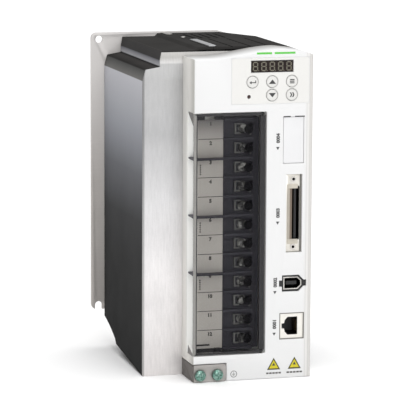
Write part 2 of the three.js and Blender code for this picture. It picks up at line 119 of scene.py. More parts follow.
def soft_edged(node, width, material, body="root"):
    """Stands for a CAD node with the same shape and rounded edges; width in mm."""
    bm = bmesh.new()
    bm.from_mesh(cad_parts[node].data)
    bmesh.ops.remove_doubles(bm, verts=bm.verts, dist=1e-6)
    bmesh.ops.dissolve_limit(bm, angle_limit=radians(1.5), verts=bm.verts, edges=bm.edges)
    obj = make_object(node + "_shell", bm, material, body)
    bevel(obj, width)
    smooth(obj)
    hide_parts(node)


def add_box(bm, low, high):
    size = Vector(high) - Vector(low)
    centre = (Vector(high) + Vector(low)) / 2
    matrix = Matrix.Translation(centre) @ Matrix.Diagonal((*size, 1))
    bmesh.ops.create_cube(bm, size=1, matrix=matrix)


def add_block(bm, origin, low, high):
    """Adds a box whose two corners are given in mm from a point."""
    add_box(bm, origin + Vector(low) * MM, origin + Vector(high) * MM)


def bridge(bm, first, second):
    """Joins two loops of the same length with four-sided faces."""
    count = len(first)
    for i in range(count):
        j = (i + 1) % count
        bm.faces.new((first[i], second[i], second[j], first[j]))


def bridge_around(bm, loops):
    """Joins each loop with the next and the last with the first."""
    for index, loop in enumerate(loops):
        bridge(bm, loop, loops[(index + 1) % len(loops)])


def add_flat(bm, points, depth):
    """Adds a thin plate whose outline lies in the XZ plane; its front is at the points' y."""
    front = [bm.verts.new(p) for p in points]
    back = [bm.verts.new(p + Vector((0, depth, 0))) for p in points]
    bm.faces.new(front)
    bm.faces.new(list(reversed(back)))
    bridge(bm, front, back)


def circle_points(centre, radius, sides):
    angles = [tau * i / sides for i in range(sides)]
    return [centre + Vector((cos(a), 0, sin(a))) * radius for a in angles]


def add_ring(bm, centre, outer, inner, depth, sides=40):
    """Adds a flat ring in the XZ plane; its front is at the centre's y."""
    rings = []
    for radius, y in ((outer, 0), (inner, 0), (inner, depth), (outer, depth)):
        points = circle_points(centre, radius, sides)
        rings.append([bm.verts.new(p + Vector((0, y, 0))) for p in points])
    bridge_around(bm, rings)


def add_turned(bm, profile, matrix, sides=24):
    """Turns [radius, height] pairs about local Z; the ends close on the axis."""
    angles = [tau * i / sides for i in range(sides)]
    rings = []
    for radius, height in profile:
        if radius < 1e-9:
            rings.append([bm.verts.new(matrix @ Vector((0, 0, height)))])
            continue
        points = [Vector((radius * cos(a), radius * sin(a), height)) for a in angles]
        rings.append([bm.verts.new(matrix @ point) for point in points])
    for low, high in zip(rings, rings[1:]):
        for i in range(sides):
            j = (i + 1) % sides
            corners = [low[i % len(low)], low[j % len(low)], high[j % len(high)], high[i % len(high)]]
            unique = list(dict.fromkeys(corners))
            if len(unique) > 2:
                bm.faces.new(unique)


def fix_normals(bm):
    bmesh.ops.recalc_face_normals(bm, faces=bm.faces)


FACING_FRONT = Matrix.Rotation(radians(90), 4, "X")   # local Z points to the front, -Y
CAP_HEIGHT = 0.7                                      # a figure's height as a part of the font size


def text_shape(bm, words, centre, height, depth=0.08, turn=0.0, bold=0.12):
    """Adds plain figures facing the front, centred on a point; height, depth and bold in mm."""
    curve = bpy.data.curves.new("characters", "FONT")
    curve.body = words
    curve.size = height / CAP_HEIGHT * MM
    curve.extrude = depth / 2 * MM
    curve.offset = bold * MM
    curve.align_x = "CENTER"
    curve.align_y = "CENTER"
    curve.resolution_u = 3
    holder = bpy.data.objects.new("characters", curve)
    scene.collection.objects.link(holder)
    depsgraph = bpy.context.evaluated_depsgraph_get()
    mesh = bpy.data.meshes.new_from_object(holder.evaluated_get(depsgraph))
    place = Matrix.Translation(centre) @ Matrix.Rotation(turn, 4, "Y") @ FACING_FRONT
    mesh.transform(place)
    bm.from_mesh(mesh)
    bpy.data.objects.remove(holder)
    bpy.data.curves.remove(curve)
    bpy.data.meshes.remove(mesh)


# ------------------------------------------------------------------ material helpers


class Nodes:
    """A short way to write one material's node tree."""

    def __init__(self, name):
        self.material = bpy.data.materials.new(name)
        self.material.use_nodes = True
        self.tree = self.material.node_tree
        self.shader = self.tree.nodes["Principled BSDF"]
        self.coords = self.add("ShaderNodeTexCoord").outputs["Object"]

    def add(self, kind, **settings):
        node = self.tree.nodes.new(kind)
        for key, value in settings.items():
            setattr(node, key, value)
        return node

    def link(self, source, target):
        self.tree.links.new(source, target)

    def set(self, **values):
        for key, value in values.items():
            self.shader.inputs[key.replace("_", " ")].default_value = value

    def stretched(self, scale):
        mapping = self.add("ShaderNodeMapping")
        mapping.inputs["Scale"].default_value = scale
        self.link(self.coords, mapping.inputs["Vector"])
        return mapping.outputs["Vector"]

    def noise(self, scale, detail, stretch=None, roughness=0.5):
        node = self.add("ShaderNodeTexNoise")
        node.inputs["Scale"].default_value = scale
        node.inputs["Detail"].default_value = detail
        node.inputs["Roughness"].default_value = roughness
        self.link(self.stretched(stretch) if stretch else self.coords, node.inputs["Vector"])
        return node.outputs["Fac"]

    def ramp(self, factor, stops):
        node = self.add("ShaderNodeValToRGB")
        ramp = node.color_ramp
        while len(ramp.elements) < len(stops):
            ramp.elements.new(0.5)
        for element, (position, color) in zip(ramp.elements, stops):
            element.position = position
            element.color = (*color, 1)
        self.link(factor, node.inputs["Fac"])
        return node.outputs["Color"]

    def range(self, factor, low, high):
        node = self.add("ShaderNodeMapRange")
        node.inputs["To Min"].default_value = low
        node.inputs["To Max"].default_value = high
        self.link(factor, node.inputs["Value"])
        return node.outputs["Result"]

    def along(self, axis, low, high):
        """0 at low and 1 at high, along one axis of the drive."""
        split = self.add("ShaderNodeSeparateXYZ")
        self.link(self.coords, split.inputs["Vector"])
        node = self.add("ShaderNodeMapRange")
        node.inputs["From Min"].default_value = low
        node.inputs["From Max"].default_value = high
        self.link(split.outputs[axis], node.inputs["Value"])
        return node.outputs["Result"]

    def mix(self, factor, first, second, mode="MIX"):
        node = self.add("ShaderNodeMix", data_type="RGBA", blend_type=mode)
        if isinstance(factor, float):
            node.inputs["Factor"].default_value = factor
        else:
            self.link(factor, node.inputs["Factor"])
        for value, name in ((first, "A"), (second, "B")):
            socket = [s for s in node.inputs if s.name == name and s.type == "RGBA"][0]
            if isinstance(value, tuple):
                socket.default_value = (*value, 1)
            else:
                self.link(value, socket)
        return [s for s in node.outputs if s.type == "RGBA"][0]

    def bump(self, height, strength, distance):
        node = self.add("ShaderNodeBump")
        node.inputs["Strength"].default_value = strength
        node.inputs["Distance"].default_value = distance
        self.link(height, node.inputs["Height"])
        self.link(node.outputs["Normal"], self.shader.inputs["Normal"])

    def color(self, value):
        self.link(value, self.shader.inputs["Base Color"])

    def roughness(self, value):
        self.link(value, self.shader.inputs["Roughness"])


def srgb(red, green, blue):
    """Screen colour, 0 to 255, as the linear colour that shaders use."""
    def linear(c):
        c = c / 255
        return c / 12.92 if c <= 0.04045 else ((c + 0.055) / 1.055) ** 2.4
    return tuple(linear(c) for c in (red, green, blue))


def shade(color, factor):
    return tuple(c * factor for c in color)


def grey(level):
    return (level, level, level)


# Where the painted light and shade on the case, the panel, the plate and the housing changes, in metres.
CASE_FOLD_Z = 0.203              # the top of the case's side wall
CASE_TOP_Z = 0.2252              # the highest part of the case
SHOULDER_X = (-0.0370, -0.0375)  # the case's top climbs in steps to the left of this
SHEET_TOP_Z = 0.222              # close to the top of the front panel and the plate
CROWN_Z = (0.2165, 0.2175)       # behind the housing's front, what is above this is its arched top


def moulded(name, color, roughness=0.42, grain=0.06, coat=0.0, spread=0.04, gloss=0.5):
    """Moulded plastic: faint mottling, fine spark-eroded texture."""
    n = Nodes(name)
    mottle = n.noise(90, 5)
    n.color(n.ramp(mottle, [(0.3, shade(color, 1 - spread)), (0.7, shade(color, 1 + spread * 0.6))]))
    fine = n.noise(2600, 3)
    n.roughness(n.range(n.noise(160, 4), roughness - 0.05, roughness + 0.06))
    n.bump(fine, grain, 0.00006)
    n.set(Coat_Weight=coat, Coat_Roughness=0.2, Specular_IOR_Level=gloss)
    return n.material


def plated(name, color, roughness=0.34, spangle=0.12, metallic=1.0, top=None, side=None):
    """Plated sheet steel: cloudy zinc with fine rolling lines.

    A top colour tints it towards its upper end as painted light, and a side colour tints its left face as
    painted shade.
    """
    n = Nodes(name)
    cloud = n.noise(55, 6)
    lines = n.noise(70, 4, stretch=(1, 1, 22))
    spangled = n.ramp(cloud, [(0.3, shade(color, 1 - spangle)), (0.7, shade(color, 1 + spangle))])
    rolled = n.ramp(lines, [(0.3, shade(color, 0.93)), (0.7, shade(color, 1.05))])
    tone = n.mix(0.45, spangled, rolled)
    if top:
        # painted light: the upper end takes the top colour
        tone = n.mix(n.along("Z", 0.12, SHEET_TOP_Z), tone, top)
    if side:
        # painted shade: the left face takes the side colour
        shaded_left_face = n.along("X", housing_low.x + 0.0008, housing_low.x + 0.0003)
        tone = n.mix(shaded_left_face, tone, side)
    n.color(tone)
    n.roughness(n.range(cloud, roughness - 0.06, roughness + 0.1))
    n.bump(lines, 0.12, 0.00005)
    n.set(Metallic=metallic)
    return n.material


def brushed(name):
    """Front panel: vertical grain and soft clouds, greyer towards the top as painted shade, with a
    painted highlight along the fold near the top and a painted shadow along the left edge.
    """
    n = Nodes(name)
    height = n.along("Z", 0.0, SHEET_TOP_Z)
    # painted shade greying towards the top, and a painted highlight at the fold near the top
    base = n.ramp(height, [
        (0.0, srgb(240, 236, 235)), (0.3, srgb(246, 243, 243)), (0.55, srgb(224, 223, 224)),
        (0.75, srgb(189, 189, 190)), (0.965, srgb(190, 190, 190)), (0.97, srgb(226, 225, 224)),
        (0.985, srgb(180, 178, 175)), (1.0, srgb(190, 188, 185)),
    ])
    grain = n.noise(160, 6, stretch=(7, 7, 0.8))
    clouds = n.noise(46, 6)
    speckle = n.noise(900, 3)
    tone = base
    for strength, pattern, low_stop, high_stop, darkest in (
        (0.5, grain, 0.3, 0.7, 0.80), (0.45, clouds, 0.35, 0.65, 0.84), (0.25, speckle, 0.3, 0.7, 0.86),
    ):
        veil = n.ramp(pattern, [(low_stop, grey(darkest)), (high_stop, grey(1.0))])
        tone = n.mix(strength, tone, veil, "MULTIPLY")
    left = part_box("front_panel")[0].x
    from_edge = n.along("X", left, left + 0.0014)
    edge_shadow = n.ramp(from_edge, [(0.0, grey(0.5)), (0.7, grey(0.58)), (1.0, grey(1.0))])
    n.color(n.mix(1.0, tone, edge_shadow, "MULTIPLY"))
    n.roughness(n.range(grain, 0.40, 0.58))
    n.bump(grain, 0.08, 0.00004)
    n.set(Metallic=0.35)
    return n.material


def case_paint():
    """Satin charcoal paint, dark on top, with painted light: a painted reflection on the side from nearly
    black low down to blue-grey below the fold, and stripes of painted highlight and shadow on the steps
    at the left.
    """
    n = Nodes("case_paint")
    height = n.along("Z", 0.0, CASE_FOLD_Z)
    # painted reflection: nearly black low down to blue-grey below the fold
    side = n.ramp(height, [
        (0.0, srgb(54, 54, 54)), (0.35, srgb(60, 60, 60)), (0.52, srgb(72, 72, 73)),
        (0.68, srgb(110, 111, 115)), (0.82, srgb(153, 155, 161)), (1.0, srgb(190, 190, 195)),
    ])
    steps = n.along("Z", CASE_FOLD_Z + 0.0001, CASE_TOP_Z)
    # painted highlights and shadows on the steps of the shoulder
    painted_step_light = n.ramp(steps, [
        (0.0, srgb(118, 117, 115)), (0.3, srgb(80, 80, 79)), (0.34, srgb(40, 39, 38)),
        (0.40, srgb(62, 60, 59)), (0.43, srgb(34, 34, 34)), (0.46, srgb(190, 190, 194)),
        (0.6, srgb(132, 132, 138)), (0.64, srgb(71, 70, 70)), (1.0, srgb(65, 64, 63)),
    ])
    on_shoulder = n.along("X", *SHOULDER_X)
    soft_fold = n.along("Z", 0.190, 0.209)
    sharp_fold = n.along("Z", CASE_FOLD_Z - 0.0001, CASE_FOLD_Z + 0.0003)
    above = n.mix(on_shoulder, soft_fold, sharp_fold)
    top = n.mix(on_shoulder, srgb(56, 55, 54), painted_step_light)
    orange_peel = n.noise(900, 3)
    dust = n.noise(38, 6)
    paint = n.mix(above, side, top)
    n.color(n.mix(0.08, paint, n.ramp(dust, [(0.3, srgb(44, 44, 46)), (0.7, srgb(96, 96, 96))])))
    n.roughness(n.range(dust, 0.42, 0.56))
    n.bump(orange_peel, 0.10, 0.00008)
    n.set(Specular_IOR_Level=0.0)
    return n.material


def smoked_cover():
    n = Nodes("smoked_cover")
    tint = n.noise(20, 3)
    n.color(n.ramp(tint, [(0.3, srgb(22, 21, 25)), (0.7, srgb(30, 29, 33))]))
    n.roughness(n.range(n.noise(140, 4), 0.10, 0.20))
    n.bump(n.noise(30, 2), 0.02, 0.0002)
    n.set(Alpha=0.22, Specular_IOR_Level=0.10)
    n.material.surface_render_method = "BLENDED"
    return n.material


def dark_window():
    n = Nodes("display_filter")
    n.color(n.ramp(n.noise(60, 3), [(0.3, srgb(34, 27, 26)), (0.7, srgb(44, 36, 34))]))
    n.roughness(n.range(n.noise(300, 3), 0.12, 0.2))
    n.set(Specular_IOR_Level=0.1)
    return n.material


def green_passivate():
    n = Nodes("green_passivate")
    film = n.noise(700, 4)
    n.color(n.ramp(film, [
        (0.25, srgb(74, 112, 100)), (0.5, srgb(118, 156, 144)), (0.75, srgb(186, 210, 202)),
    ]))
    n.roughness(n.range(film, 0.25, 0.42))
    n.bump(n.noise(1500, 3), 0.15, 0.00006)
    n.set(Metallic=0.85)
    return n.material


def housing_white():
    """White moulding with painted shade: two soft shadow lines at the folds down its right edge, a darker
    arched top and left side, and painted light that brightens the recess floor behind its front.
    """
    n = Nodes("housing_white")
    edge = n.along("X", housing_high.x - 0.006, housing_high.x)
    # painted shade: two soft shadow lines at the folds and a darker edge on the right
    front = n.ramp(edge, [
        (0.0, srgb(226, 226, 226)), (0.20, srgb(223, 222, 221)), (0.27, srgb(206, 205, 203)),
        (0.36, srgb(223, 222, 220)), (0.5, srgb(221, 219, 217)), (0.66, srgb(199, 197, 194)),
        (0.78, srgb(210, 208, 205)), (0.95, srgb(192, 189, 185)), (1.0, srgb(186, 183, 178)),
    ])
    backwards = n.along("Y", housing_low.y + 0.003, housing_low.y + 0.030)
    # painted shade: the arched top darkens towards the back
    shaded_crown = n.mix(backwards, srgb(226, 226, 226), srgb(150, 148, 145))
    behind = n.along("Y", housing_low.y + 0.0008, housing_low.y + 0.0016)
    # painted light: the recess floor behind the front, below the arched top, is brighter white
    inner = n.mix(n.along("Z", *CROWN_Z), srgb(250, 250, 247), shaded_crown)
    body = n.mix(behind, front, inner)
    depth = n.along("Y", housing_low.y, housing_low.y + 0.012)
    # painted shade on the left side, darker towards the front
    side = n.ramp(depth, [
        (0.0, srgb(180, 178, 173)), (0.5, srgb(200, 198, 193)), (1.0, srgb(226, 224, 219)),
    ])
    shaded_left_face = n.along("X", housing_low.x + 0.0005, housing_low.x + 0.0002)
    n.color(n.mix(shaded_left_face, body, side))
    grain = n.noise(1800, 4)
    n.roughness(n.range(grain, 0.38, 0.5))
    n.bump(grain, 0.05, 0.00005)
    return n.material


def deep_metal(name, node, color, metallic=0.7):
    """A plated shell whose mouth is painted black behind its face, as painted shade."""
    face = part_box(node)[0].y
    n = Nodes(name)
    cloud = n.noise(300, 4)
    metal = n.mix(0.2, color, n.ramp(cloud, [(0.35, shade(color, 0.7)), (0.65, color)]))
    # painted shade: the metal turns black a little behind the face
    inside = n.along("Y", face + 0.0007, face + 0.0016)
    n.color(n.mix(inside, metal, srgb(10, 10, 10)))
    n.roughness(n.range(cloud, 0.28, 0.42))
    n.bump(cloud, 0.05, 0.00005)
    n.set(Metallic=metallic)
    return n.material


def label_paper():
    """The printed label strip: warm white, in shadow under the recess's top edge."""
    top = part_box("terminal_label_carrier")[1].z
    n = Nodes("label_paper")
    paper = n.ramp(n.noise(90, 5), [(0.3, srgb(224, 219, 211)), (0.7, srgb(230, 225, 217))])
    to_top = n.along("Z", top - 0.016, top)
    shadow = n.ramp(to_top, [(0.0, grey(1.0)), (0.35, (0.84, 0.84, 0.85)), (1.0, (0.36, 0.36, 0.38))])
    n.color(n.mix(1.0, paper, shadow, "MULTIPLY"))
    n.roughness(n.range(n.noise(160, 4), 0.45, 0.56))
    n.bump(n.noise(2600, 3), 0.03, 0.00006)
    return n.material


def worn_steel():
    """Terminal screws: dull zinc with strong bright and dark patches."""
    n = Nodes("worn_steel")
    patches = n.noise(300, 5, roughness=0.6)
    n.color(n.ramp(patches, [
        (0.38, srgb(40, 40, 39)), (0.5, srgb(98, 98, 95)), (0.64, srgb(196, 196, 190)),
    ]))
    n.roughness(n.range(patches, 0.25, 0.45))
    n.bump(n.noise(900, 4), 0.4, 0.0001)
    n.set(Metallic=0.6)
    return n.material


def circuit_board():
    n = Nodes("circuit_board")
    cells = n.add("ShaderNodeTexVoronoi", feature="DISTANCE_TO_EDGE")
    cells.inputs["Scale"].default_value = 260
    n.link(n.coords, cells.inputs["Vector"])
    n.color(n.ramp(cells.outputs["Distance"], [(0.04, srgb(64, 120, 70)), (0.1, srgb(24, 78, 46))]))
    n.roughness(n.range(n.noise(200, 3), 0.3, 0.45))
    n.bump(cells.outputs["Distance"], 0.2, 0.0001)
    return n.material


def printed(name, color):
    """Screen-printed ink: slight density changes and a fine edge texture."""
    n = Nodes(name)
    n.color(n.ramp(n.noise(1200, 3), [(0.3, shade(color, 0.88)), (0.7, shade(color, 1.1))]))
    n.roughness(n.range(n.noise(800, 3), 0.42, 0.58))
    n.bump(n.noise(2500, 2), 0.05, 0.00004)
    return n.material


white_plastic = moulded("white_plastic", srgb(224, 224, 225), 0.45, 0.05, spread=0.015)
key_film = moulded("key_film", srgb(218, 217, 214), 0.4, 0.03, spread=0.02)
cover_rim = moulded("cover_rim", srgb(54, 53, 55), 0.4, 0.05)
# painted highlight: light grey for the cover's left edge
rim_highlight_grey = moulded("rim_highlight_grey", srgb(176, 174, 170), 0.4, 0.05)
pin_black = plated("pin_black", srgb(44, 44, 44), 0.4, 0.05)
# dark grey for painted shadow in the gaps round the sockets
gap_shadow_grey = moulded("gap_shadow_grey", srgb(112, 110, 105), 0.5, 0.05)
contact_bronze = plated("contact_bronze", srgb(78, 66, 46), 0.4, 0.05)
# painted shade: the webs are coloured grey
web_shade_grey = moulded("web_shade_grey", srgb(104, 102, 100), 0.4, 0.05)
# painted shade: black for the shaded inside of the round holes
hole_shade_black = moulded("hole_shade_black", srgb(6, 6, 6), 0.7, 0.05, gloss=0.05)
membrane = moulded("membrane_film", srgb(224, 223, 220), 0.4, 0.03, spread=0.01)
label_stock = label_paper()
terminal_plastic = moulded("terminal_plastic", srgb(74, 73, 80), 0.5, 0.12, gloss=0.25)
black_plastic = moulded("black_plastic", srgb(36, 36, 37), 0.42, 0.12)
socket_black = moulded("socket_black", srgb(26, 26, 27), 0.5, 0.08)
# the plate's top colour is painted light, lighter towards its upper end
plate_steel = plated("plate_steel", srgb(195, 190, 186), 0.5, 0.06, 0.4, srgb(208, 205, 203))
# the bracket's side colour is painted shade on its left face
bracket_steel = plated("bracket_steel", srgb(166, 162, 159), 0.42, 0.15, 0.6, side=srgb(96, 92, 89))
bright_steel = plated("bright_steel", srgb(206, 203, 198), 0.28, 0.06)
sink_aluminium = plated("sink_aluminium", srgb(205, 206, 208), 0.38, 0.08)
panel_steel = brushed("panel_steel")
case_coat = case_paint()
cover_tint = smoked_cover()
window_dark = dark_window()
screw_green = green_passivate()
board_green = circuit_board()
screw_worn = worn_steel()
clamp_steel = plated("clamp_steel", srgb(128, 128, 125), 0.35, 0.6)
housing_paint = housing_white()
jack_metal = deep_metal("jack_metal", "network_jack", srgb(236, 233, 226))
shell_metal = deep_metal("shell_metal", "control_connector_shell", srgb(222, 218, 210), 0.5)
bus_metal = deep_metal("bus_metal", "bus_socket_shell", srgb(206, 203, 198), 0.9)
sleeve_blue = moulded("capacitor_sleeve", srgb(38, 48, 84), 0.28, 0.04, coat=0.3)
lamp_red = moulded("lamp_red", srgb(60, 36, 34), 0.18, 0.02, coat=0.4)
ink_dark = printed("ink_dark", srgb(58, 58, 58))
ring_grey = printed("ring_grey", srgb(192, 192, 189))
ink_soft = printed("ink_soft", srgb(84, 82, 80))
ink_green = printed("ink_green", srgb(92, 196, 72))
ink_yellow = printed("ink_yellow", srgb(208, 194, 30))
ink_olive = printed("ink_olive", srgb(66, 62, 26))
segment_grey = printed("segment_grey", srgb(112, 108, 94))
# the connector's inner wall in a lit and a shaded copy, as painted light and shade
shroud_painted_lit = plated("shroud_painted_lit", srgb(176, 169, 158), 0.35, 0.2)
shroud_painted_shade = plated("shroud_painted_shade", srgb(122, 110, 99), 0.35, 0.05)
latch_metal = plated("latch_metal", srgb(190, 184, 172), 0.3, 0.7)
contact_gold = plated("contact_gold", srgb(214, 172, 92), 0.25, 0.05)


# ------------------------------------------------------------------ CAD nodes that stay


def assign(material, *nodes):
    for name in nodes:
        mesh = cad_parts[name].data
        mesh.materials.clear()
        mesh.materials.append(material)


def finish_cad_nodes():
    screws = [f"terminal_screw_{i}" for i in TERMINALS]
    dividers = [f"group_divider_{i}" for i in range(1, 4)]
    capacitors = [f"bus_capacitor_{i}" for i in range(1, 4)]
    switches = [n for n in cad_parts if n.startswith("switch_")]
    assign(pin_black, "hinge_pin_lower", "hinge_pin_upper")
    assign(screw_worn, *screws)
    assign(terminal_plastic, *dividers)
    assign(black_plastic, "display_module", "power_module", "inrush_relay", *switches)
    assign(black_plastic, "fan_frame", "fan_rotor")
    assign(socket_black, "control_connector_tongue", "bus_socket_tongue")
    assign(label_stock, "terminal_label_carrier")
    assign(board_green, "control_board", "power_board")
    assign(sink_aluminium, "heat_sink", "brake_resistor", "top_seam_strip")
    assign(sleeve_blue, *capacitors)
    assign(lamp_red, "charge_lamp")
    assign(window_dark, "display_window")
    assign(jack_metal, "network_jack")
    assign(membrane, "keypad_overlay")


def make_shells():
    soft_edged("front_housing", 0.7, housing_paint)
    soft_edged("case_left_half", 0.5, case_coat)
    soft_edged("case_right_half", 0.3, case_coat)
    soft_edged("front_panel", 0.25, panel_steel)
    soft_edged("mounting_plate", 0.25, plate_steel)
    soft_edged("ground_bracket", 0.35, bracket_steel)
    soft_edged("terminal_cover", 0.35, cover_tint, "cover")
    soft_edged("terminal_block", 0.2, terminal_plastic)
    soft_edged("option_cover", 0.2, white_plastic)
    soft_edged("control_connector_shell", 0.2, shell_metal)
    soft_edged("bus_socket_shell", 0.2, bus_metal)
    for name in ("ground_screw_left", "ground_screw_right"):
        soft_edged(name, 0.12, screw_green)
    for name in KEYS:
        soft_edged("key_" + name, 0.2, key_film, "button_" + name)


# ------------------------------------------------------------------ operator panel


def key_face(name):
    low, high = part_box("key_" + name)
    return Vector(((low.x + high.x) / 2, low.y, (low.z + high.z) / 2))


def add_triangle(bm, centre, width, height, depth, upwards=True):
    sign = 1 if upwards else -1
    points = [
        centre + Vector((-width / 2, 0, -sign * height / 2)),
        centre + Vector((width / 2, 0, -sign * height / 2)),
        centre + Vector((0, 0, sign * height / 2)),
    ]
    add_flat(bm, points if upwards else list(reversed(points)), depth)


def key_mark(name, draw):
    """A printed symbol on top of one key; it sinks with the key."""
    bm = bmesh.new()
    draw(bm, key_face(name) + Vector((0, -0.02 * MM, 0)))
    fix_normals(bm)
    obj = make_object("mark_" + name, bm, ink_dark, "button_" + name)


def draw_return_arrow(bm, centre):
    add_block(bm, centre, (-1.2, 0, -0.65), (2.3, 0.1, -0.05))
    add_block(bm, centre, (1.75, 0, -0.65), (2.3, 0.1, 1.15))
    tip = centre + Vector((-1.5, 0, -0.35)) * MM
    head = ((-0.9, 0, 0), (0.6, 0, -1.15), (0.6, 0, 1.15))
    add_flat(bm, [tip + Vector(corner) * MM for corner in head], INK_DEPTH)


def draw_menu_bars(bm, centre):
    for row in (-1, 0, 1):
        add_block(bm, centre, (-1.6, 0, row * 1.1 - 0.36), (1.6, 0.1, row * 1.1 + 0.36))


def draw_chevrons(bm, centre):
    outline = [(-0.7, 1.6), (0.25, 1.6), (1.05, 0), (0.25, -1.6), (-0.7, -1.6), (0.1, 0)]
    for shift in (-0.95, 0.65):
        add_flat(bm, [centre + Vector((x + shift, 0, z)) * MM for x, z in outline], INK_DEPTH)


def add_frame(bm, low, high, margin, depth):
    """A flat rectangular ring facing the front, inside the given corners."""
    left, right = low.x + margin, high.x - margin
    bottom, top = low.z + margin, high.z - margin
    for x0, x1, z0, z1 in (
        (low.x, high.x, low.z, bottom), (low.x, high.x, top, high.z),
        (low.x, left, bottom, top), (right, high.x, bottom, top),
    ):
        add_box(bm, (x0, low.y, z0), (x1, low.y + depth, z1))


def make_keypad_seat():
    """The moulded step that the keypad film sits in."""
    low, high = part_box("keypad_overlay")
    gap = Vector((0.34, 0, 0.26)) * MM
    bm = bmesh.new()
    add_frame(bm, low - gap + Vector((0, 0.2 * MM, 0)), high + gap, 0.36 * MM, 0.5 * MM)
    seat = make_object("keypad_seat", bm, white_plastic)


def make_key_marks():
    """A symbol on each key and a thin ring on the film round it."""
    width, height = 5.0 * MM, 3.0 * MM
    key_mark("up", lambda bm, c: add_triangle(bm, c, width, height, INK_DEPTH))
    key_mark("down", lambda bm, c: add_triangle(bm, c, width, height, INK_DEPTH, upwards=False))
    key_mark("enter", draw_return_arrow)
    key_mark("mode", draw_menu_bars)
    key_mark("shift", draw_chevrons)
    bm = bmesh.new()
    overlay_low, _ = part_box("keypad_overlay")
    for name in KEYS:
        face = key_face(name)
        centre = Vector((face.x, overlay_low.y - 0.02 * MM, face.z))
        add_ring(bm, centre, 4.45 * MM, 4.17 * MM, INK_DEPTH)
    fix_normals(bm)
    rings = make_object("key_rings", bm, ring_grey)


SEGMENTS = (          # across in digit widths, up in half digit heights, and whether it stands upright
    (0.0, 1.0, False), (0.0, 0.0, False), (0.0, -1.0, False),
    (-0.5, 0.5, True), (0.5, 0.5, True), (-0.5, -0.5, True), (0.5, -0.5, True),
)


def add_segment(bm, centre, length, thickness, upright):
    """Adds one bar of a digit, with pointed ends."""
    half = length / 2
    t = thickness / 2
    outline = [(-half, 0), (-half + t, t), (half - t, t), (half, 0), (half - t, -t), (-half + t, -t)]
    if upright:
        outline = [(z, x) for x, z in reversed(outline)]
    add_flat(bm, [centre + Vector((x, 0, z)) for x, z in outline], SEGMENT_DEPTH)


def make_display_digits():
    """Five unlit digits and their decimal points."""
    low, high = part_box("display_window")
    count = 5
    digit_width = 3.0 * MM
    half_height = digit_width * 0.93
    bm = bmesh.new()
    for digit in range(count):
        x = low.x + (high.x - low.x) * (digit + 0.5) / count
        centre = Vector((x, low.y - 0.03 * MM, (low.z + high.z) / 2))
        for across, up, upright in SEGMENTS:
            spot = centre + Vector((across * digit_width, 0, up * half_height))
            add_segment(bm, spot, digit_width * 0.86, 0.72 * MM, upright)
        dot = centre + Vector((digit_width * 0.5 + 0.75 * MM, 0, -half_height))
        add_flat(bm, circle_points(dot, 0.32 * MM, 12), SEGMENT_DEPTH)
    fix_normals(bm)
    digits = make_object("display_digits", bm, segment_grey)


# ------------------------------------------------------------------ printed marks


def make_front_stripe():
    """Two plain bars side by side under the arch."""
    bm = bmesh.new()
    for across, width in ((43.5, 10.5), (55.9, 14.6)):
        add_box(bm, front_point(across, 222.4, 0.06), front_point(across + width, 223.7, -0.1))
    stripe = make_object("front_stripe", bm, ink_green)


TRIANGLE_LAYERS = (          # name, width in mm, how far it stands out in mm, ink
    ("border", 9.4, 0.05, ink_olive), ("field", 6.6, 0.09, ink_yellow), ("dot", 2.4, 0.13, ink_dark),
)


def make_triangles():
    """Two plain triangles, each over a row of short bars."""
    for side, across in (("left", 57.1), ("right", 71.9)):
        centre = front_point(across, 10.3)
        for name, size, proud, material in TRIANGLE_LAYERS:
            bm = bmesh.new()
            spot = centre + Vector((0, -proud * MM, 0 if name == "border" else -0.25 * MM))
            add_triangle(bm, spot, size * MM, size * 0.88 * MM, INK_DEPTH)
            fix_normals(bm)
            sign = make_object(f"triangle_{side}_{name}", bm, material)

    bm = bmesh.new()
    for across, width in ((51.8, 11.0), (66.4, 11.6)):
        for part in range(5):
            left = across + part * width / 5
            add_box(bm, front_point(left, 3.3, 0.05), front_point(left + width / 5 - 0.5, 4.4, -0.1))
    fix_normals(bm)
    bars = make_object("triangle_captions", bm, ink_soft)


def make_earth_symbol():
    """A ring with a stem and three bars, the common sign for earth."""
    bm = bmesh.new()
    centre = front_point(28.7, 4.7, 0.05)
    add_ring(bm, centre, 2.35 * MM, 1.95 * MM, INK_DEPTH)
    add_block(bm, centre, (-0.14, 0, 0), (0.14, 0.1, 1.4))
    for step, half in enumerate((1.3, 0.85, 0.4)):
        z = -step * 0.55
        add_block(bm, centre, (-half, 0, z - 0.13), (half, 0.1, z + 0.13))
    fix_normals(bm)
    earth = make_object("earth_symbol", bm, ink_soft)


def make_socket_captions():
    """A number and an arrow beside each socket, reading upwards, and two bars above them all."""
    bm = bmesh.new()
    sockets = ((59.0, 163.8, "0004"), (59.3, 112.8, "0003"), (57.8, 65.0, "0002"), (57.5, 36.2, "0001"))
    for across, up, number in sockets:
        text_shape(bm, number, front_point(across, up + 1.6, 0.04), 2.3, turn=radians(-90), bold=0.16)
        arrow = front_point(across - 0.3, up - 5.2, 0.04)
        corners = [(0, -1.2), (1.2, 0.9), (-1.2, 0.9)]
        add_flat(bm, [arrow + Vector((x, 0, z)) * MM for x, z in corners], INK_DEPTH)
    for across, width in ((62.6, 5.0), (70.6, 7.0)):
        add_box(bm, front_point(across, 179.5, 0.05), front_point(across + width, 180.3, -0.05))
    fix_normals(bm)
    captions = make_object("socket_captions", bm, ink_dark)


# ------------------------------------------------------------------ terminals


def terminal_heights():
    return [box_centre(f"terminal_screw_{i}").z for i in TERMINALS]


